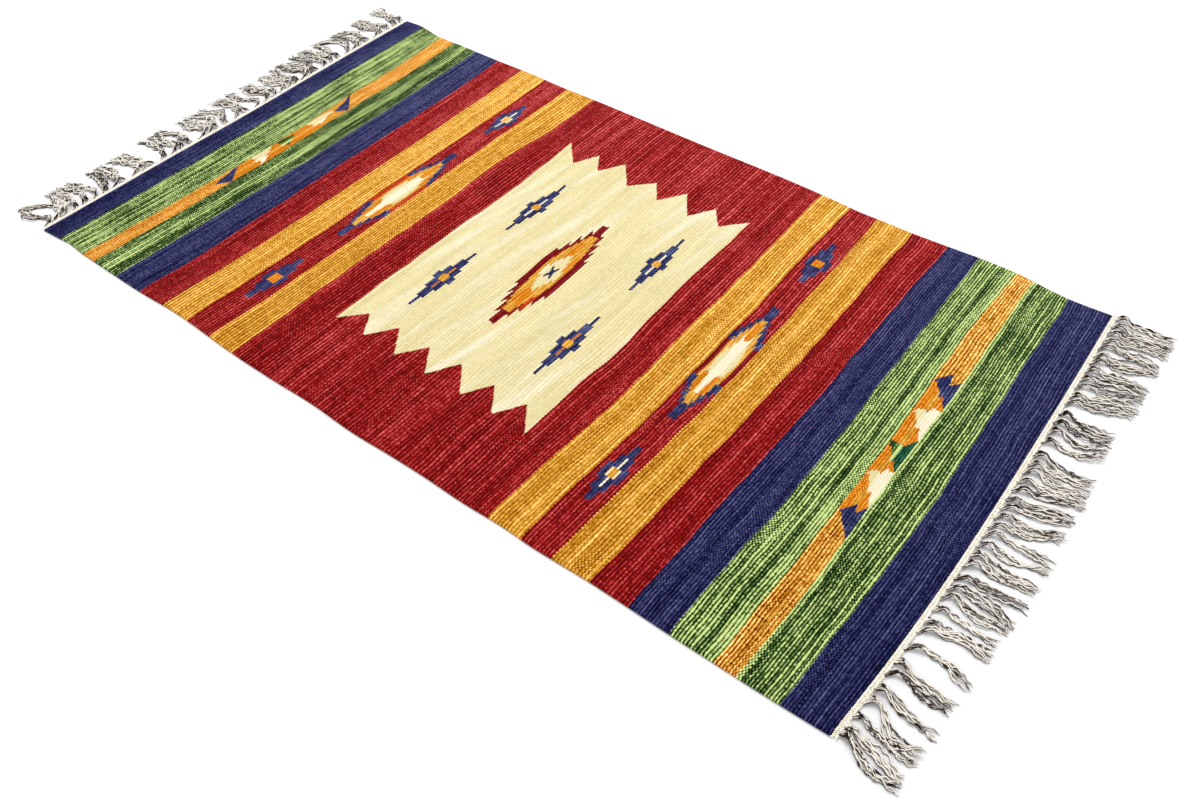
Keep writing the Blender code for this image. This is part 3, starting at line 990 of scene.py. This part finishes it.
def yarn_paths(end, fringe):
    """The fringe's yarns as lines of points in the part's frame."""
    outward, peak, curl = (ENDS[end][name] for name in ("outward", "peak", "curl"))
    rng = random.Random(fringe.seed + ENDS[end]["seed_step"])
    share = np.linspace(0, 1, YARN_POINTS)
    radius = fringe.yarn_width / MM / 2
    paths = []
    for root, tip, reach, tip_half in bundles(end):
        corner = end == "near" and root < NEAR_CORNER_TO
        strands = rng.choice((2, 3, 3, 4))
        lean = fringe.lean / MM * rng.uniform(0.6, 1.3) * (0.1 if corner else 1.0)
        if end == "far" and root < FAR_CORNER_FROM:
            lean = lean * rng.uniform(0.4, 2.6)
        bow = rng.uniform(-8, 7)
        sway = curl * rng.uniform(-3.5, 3.5)
        twist = rng.choice((-1, 1)) * rng.uniform(0.8, 1.3)
        opening = fringe.opening / MM * rng.uniform(0.5, 1.15)
        hump = fringe.hump / MM * rng.uniform(0.7, 1.2)
        ends = list(range(strands))
        if rng.random() < 0.5:
            rng.shuffle(ends)
        folds = [rng.uniform(0.55, 1.0) for _ in ends]
        centre = root + (tip - root) * eased(share) + bow * np.sin(math.pi * share)
        centre = centre + sway * np.sin(2.6 * math.pi * share)
        centre = centre + lean * (share / peak * np.exp(1 - share / peak))
        centre = centre - lean / peak * math.exp(1 - 1 / peak) * share**3
        count = fringe.yarns + (4 if corner else 0)
        for j in range(count):
            strand = j * strands // count
            place = -1 + 2 * (strand + 0.5) / strands
            last = -1 + 2 * (ends[strand] + 0.5) / strands
            tight = 1 - eased((share - 0.12) / 0.2)
            fan = (2 * j / (count - 1) - 1) * 6.5 * (1 - eased(share / 0.17))
            cord_turn = 2 * math.pi * (j / count + twist * np.clip(share / 0.3, 0, 1))
            turns = rng.uniform(0.7, 1.9) * rng.choice((-1, 1))
            pair_turn = 2 * math.pi * (rng.random() + turns * share)
            swell = np.clip((share - 0.14) / 0.74, 0, 1) ** folds[strand]
            loop = opening * place * np.sin(math.pi * swell)
            loop = loop + tip_half * last * eased((share - 0.45) / 0.5)
            loose = (1 - tight) * (1.3 + 0.9 * eased((share - 0.6) / 0.4))
            wave = rng.uniform(11, 24)
            shift = rng.uniform(0, 2 * math.pi)
            crimp = curl * fringe.crimp / MM * rng.uniform(0.4, 1.4) * eased(share / 0.3)
            stray = rng.uniform(4, 11) * rng.choice((-1, 1)) if rng.random() < 0.12 else 0.0
            fray = rng.uniform(-3.5, 3.5)
            across = (
                centre
                + fan
                + tight * 1.9 * np.cos(cord_turn)
                + loop
                + loose * np.cos(pair_turn)
                + stray * np.sin(math.pi * eased((share - 0.2) / 0.9))
                + fray * eased((share - 0.78) / 0.22)
                + crimp * np.sin(2 * math.pi * share * reach / wave + shift)
            )
            rise = hump * np.exp(-(((share - 0.15) / 0.09) ** 2))
            height = radius + 0.2 + rise + tight * 1.4 * (1 + np.sin(cord_turn))
            height = height + loose * 0.9 * (1 + np.sin(pair_turn))
            swing = np.sin(2 * math.pi * share * reach / (wave * 1.6) + shift)
            height = height + 0.5 * (1 + swing) * (1 - tight)
            height = np.clip(height * (1 - 0.3 * eased((share - 0.85) / 0.15)), radius, YARN_TOP)
            cut = reach + rng.gauss(0, 2.5)
            start = end_place(end, np.clip(across, STRIPE_PLACES[0], STRIPE_PLACES[-1]))
            along = start + outward * (YARN_START + share * (cut - YARN_START))
            paths.append(in_frame(along, across, height))
    return paths


def path_object(name, paths):
    """Lines of points as one mesh of edges, with a number for each line."""
    mesh = bpy.data.meshes.new(name)
    points = np.concatenate(paths)
    edges = []
    start = 0
    for path in paths:
        edges += [(k, k + 1) for k in range(start, start + len(path) - 1)]
        start += len(path)
    mesh.from_pydata(points.tolist(), edges, [])
    number = np.repeat(np.arange(len(paths)), [len(path) for path in paths]).astype(float)
    add_values(mesh, number=number)
    mesh.update()
    return new_piece(name, mesh)


def yarn_tree(material, sizes):
    """Gives each line of points the round section of a plied yarn."""
    tree, geometry, size = named_group("Kilim fringe yarn", sizes)
    curve = step_node(tree, "GeometryNodeMeshToCurve", {"Mesh": geometry})
    parameter = tree.nodes.new("GeometryNodeSplineParameter")
    length = stored(tree, curve.outputs[0], "length", parameter.outputs["Length"])
    tip = ((Value(tree, parameter.outputs["Factor"]) - 0.82) / 0.18).clamped()
    taper = 1.0 - tip * size["Taper"]
    sockets = {"Resolution": size["Sides"], "Radius": size["Width"] * 0.5}
    ring = step_node(tree, "GeometryNodeCurvePrimitiveCircle", sockets)
    around = tree.nodes.new("GeometryNodeSplineParameter")
    angle = Value(tree, around.outputs["Factor"]) * (2 * math.pi)
    marked = stored(tree, ring.outputs[0], "beside", angle.cosine())
    sockets = {"Curve": length, "Profile Curve": marked, "Scale": taper, "Fill Caps": True}
    tube = step_node(tree, "GeometryNodeCurveToMesh", sockets)
    vector = combined(tree, *(named_value(tree, name) for name in ("length", "beside", "number")))
    laid = stored(tree, tube.outputs[0], "lay", vector, "FLOAT_VECTOR")
    smooth = step_node(tree, "GeometryNodeSetShadeSmooth", {"Geometry": laid})
    finish_group(tree, smooth.outputs[0], material)
    return tree


def stitch_points(end, cloth, fringe):
    """Middles, turns and numbers of the heading's slanted stitches."""
    outward = ENDS[end]["outward"]
    count = cloth.warps
    step = cloth.width / MM / count
    places, turns, numbers = [], [], []
    half = fringe.heading_width / MM / HEADING_ROWS / 2
    rng = random.Random(fringe.seed + 7)
    lowest = -float(selvedge(0 if end == "far" else cloth.length / MM, "near_out"))
    for row in range(HEADING_ROWS):
        for i in range(count):
            across = (i + 0.5 + 0.25 * row) * step
            across = across + lowest * math.exp(-across / EDGE_REACH)
            out = half * (1 + 2 * row) - HEADING_TUCK
            along = float(end_place(end, across)) + outward * out + rng.gauss(0, 0.15)
            places.append(in_frame(along, across, HEADING_HEIGHT + rng.gauss(0, 0.12)))
            slant = STITCH_SLANT * (1 - 2 * row)
            turns.append(math.radians(slant * outward + rng.gauss(0, 5)))
            numbers.append(i + row * count)
    return np.array(places), np.array(turns), np.array(numbers, float)


def stitch_tree(material, sizes):
    """Sets one rounded stitch on each point of a heading."""
    tree, geometry, size = named_group("Kilim heading stitch", sizes)
    sockets = {"Segments": size["Segments"], "Rings": size["Rings"], "Radius": 0.5}
    grain = step_node(tree, "GeometryNodeMeshUVSphere", sockets)
    turn = combined(tree, 0.0, 0.0, named_value(tree, "turn"))
    sockets = {
        "Points": geometry,
        "Instance": grain.outputs["Mesh"],
        "Scale": combined(tree, size["Length"], size["Width"], size["Height"]),
        "Rotation": step_node(tree, "FunctionNodeEulerToRotation", {"Euler": turn}).outputs[0],
    }
    placed = step_node(tree, "GeometryNodeInstanceOnPoints", sockets)
    real = step_node(tree, "GeometryNodeRealizeInstances", {"Geometry": placed.outputs[0]})
    number = named_value(tree, "number")
    vector = combined(tree, number * MM, 0.0, number)
    laid = stored(tree, real.outputs[0], "lay", vector, "FLOAT_VECTOR")
    smooth = step_node(tree, "GeometryNodeSetShadeSmooth", {"Geometry": laid})
    finish_group(tree, smooth.outputs[0], material)
    return tree


def dyes_of(scene):
    """The dyes as a table of linear colours."""
    dyes = scene.kilim_dyes
    return {name: (*getattr(dyes, name), 1.0) for name in KilimDyes.__annotations__}


class KILIM_OT_weave(bpy.types.Operator):
    """Weaves the striped cloth."""

    bl_idname = "kilim.weave"
    bl_label = "Weave Cloth"

    def execute(self, context):
        cloth = context.scene.kilim_cloth
        material = cloth_material(cloth, dyes_of(context.scene))
        obj = new_piece("woven_cloth", cloth_mesh(cloth))
        sizes = {
            "Rib height": cloth.rib_height,
            "Proud height": cloth.proud_height,
            "Ripple height": cloth.ripple_height,
            "Seed": cloth.seed,
        }
        apply_group(obj, relief_tree(material, sizes), sizes)
        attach(obj, "root")
        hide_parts("woven_field")
        return {"FINISHED"}


class KILIM_OT_twine(bpy.types.Operator):
    """Twines a heading across each end."""

    bl_idname = "kilim.twine"
    bl_label = "Twine Headings"

    def execute(self, context):
        cloth = context.scene.kilim_cloth
        fringe = context.scene.kilim_fringe
        # The second colour is the heading's painted shade colour, used at 0.4 strength.
        material = yarn_material(
            "heading_cotton", colour(255, 253, 243), colour(226, 212, 180), 0.4
        )
        sizes = {
            "Length": 7.2 * MM,
            "Width": 3.0 * MM,
            "Height": 3.8 * MM,
            "Segments": 8,
            "Rings": 5,
        }
        for end in ("near", "far"):
            places, turns, numbers = stitch_points(end, cloth, fringe)
            mesh = bpy.data.meshes.new(f"heading_{end}")
            mesh.from_pydata(places.tolist(), [], [])
            add_values(mesh, turn=turns, number=numbers)
            obj = new_piece(f"heading_{end}", mesh)
            apply_group(obj, stitch_tree(material, sizes), sizes)
            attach(obj, "root")
            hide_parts(f"fringe_{end}")
        return {"FINISHED"}


class KILIM_OT_fringe(bpy.types.Operator):
    """Lays the warp fringe out at each end."""

    bl_idname = "kilim.fringe"
    bl_label = "Lay Fringes"

    def execute(self, context):
        fringe = context.scene.kilim_fringe
        # The dark brown is the fringe's painted shade colour, used at full strength.
        material = yarn_material("warp_cotton", dyes_of(context.scene)["warp"], colour(38, 20, 13), 1.0)
        sizes = {"Width": fringe.yarn_width, "Sides": 6, "Taper": 0.55}
        for end in ("near", "far"):
            obj = path_object(f"yarns_{end}", yarn_paths(end, fringe))
            apply_group(obj, yarn_tree(material, sizes), sizes)
            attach(obj, "root")
            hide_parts(f"fringe_{end}")
        return {"FINISHED"}


class KILIM_OT_stage(bpy.types.Operator):
    """Sets the pale floor, the soft light and the camera."""

    bl_idname = "kilim.stage"
    bl_label = "Set Stage"

    def execute(self, context):
        scene = context.scene
        stage = scene.kilim_stage
        mesh = bpy.data.meshes.new("floor")
        corners = [(x * FLOOR_HALF, y * FLOOR_HALF, 0) for x, y in ((-1, -1), (1, -1), (1, 1), (-1, 1))]
        mesh.from_pydata(corners, [], [(0, 1, 2, 3)])
        floor = new_piece("floor", mesh)
        material = bpy.data.materials.new("pale_floor")
        material.use_nodes = True
        skin = material.node_tree.nodes["Principled BSDF"]
        skin.inputs["Base Color"].default_value = (*stage.floor, 1)
        skin.inputs["Roughness"].default_value = 0.9
        mesh.materials.append(material)
        world = bpy.data.worlds.new("studio")
        world.use_nodes = True
        world.node_tree.nodes["Background"].inputs[0].default_value = (1, 1, 1, 1)
        world.node_tree.nodes["Background"].inputs[1].default_value = stage.fill
        scene.world = world
        lamp = bpy.data.lights.new("key", "AREA")
        lamp.shape = "DISK"
        lamp.size = 2.4
        lamp.energy = 95 * stage.key
        key = bpy.data.objects.new("key", lamp)
        key.location = (-1.2, 1.2, 4.5)
        key.rotation_euler = (Vector((0, 0, 0)) - key.location).to_track_quat("-Z", "Y").to_euler()
        scene.collection.objects.link(key)
        scene.view_settings.view_transform = "Standard"
        self.add_camera(scene, stage)
        return {"FINISHED"}

    def add_camera(self, scene, stage):
        """The camera at the photograph's angle."""
        camera = bpy.data.objects.new("camera", bpy.data.cameras.new("camera"))
        camera.data.lens = stage.lens
        camera.data.sensor_width = 36
        camera.data.clip_start = 0.05
        camera.location = CAMERA_PLACE
        back = (CAMERA_PLACE - CAMERA_AIM).normalized()
        up = back.cross(CAMERA_RIGHT).normalized()
        camera.rotation_euler = Matrix((up.cross(back), up, back)).transposed().to_euler()
        scene.collection.objects.link(camera)
        scene.camera = camera


class KILIM_PT_sidebar(bpy.types.Panel):
    """Lists the rug's steps and sizes."""

    bl_idname = "KILIM_PT_sidebar"
    bl_label = "Kilim Rug"
    bl_space_type = "VIEW_3D"
    bl_region_type = "UI"
    bl_category = "Kilim"

    def draw(self, context):
        for step in STEPS:
            self.layout.operator(step.bl_idname)
        for name in GROUPS:
            box = self.layout.box()
            group = getattr(context.scene, name)
            for prop in group.__annotations__:
                box.prop(group, prop)


STEPS = (KILIM_OT_weave, KILIM_OT_twine, KILIM_OT_fringe, KILIM_OT_stage)
GROUPS = {
    "kilim_cloth": KilimCloth,
    "kilim_dyes": KilimDyes,
    "kilim_fringe": KilimFringe,
    "kilim_stage": KilimStage,
}
CLASSES = (*GROUPS.values(), *STEPS, KILIM_PT_sidebar)


def register():
    for cls in CLASSES:
        bpy.utils.register_class(cls)
    for name, group in GROUPS.items():
        setattr(bpy.types.Scene, name, bpy.props.PointerProperty(type=group))


def unregister():
    for name in GROUPS:
        delattr(bpy.types.Scene, name)
    for cls in reversed(CLASSES):
        bpy.utils.unregister_class(cls)


def main():
    register()
    bpy.ops.kilim.weave()
    bpy.ops.kilim.twine()
    bpy.ops.kilim.fringe()
    bpy.ops.kilim.stage()


if __name__ == "__main__":
    main()
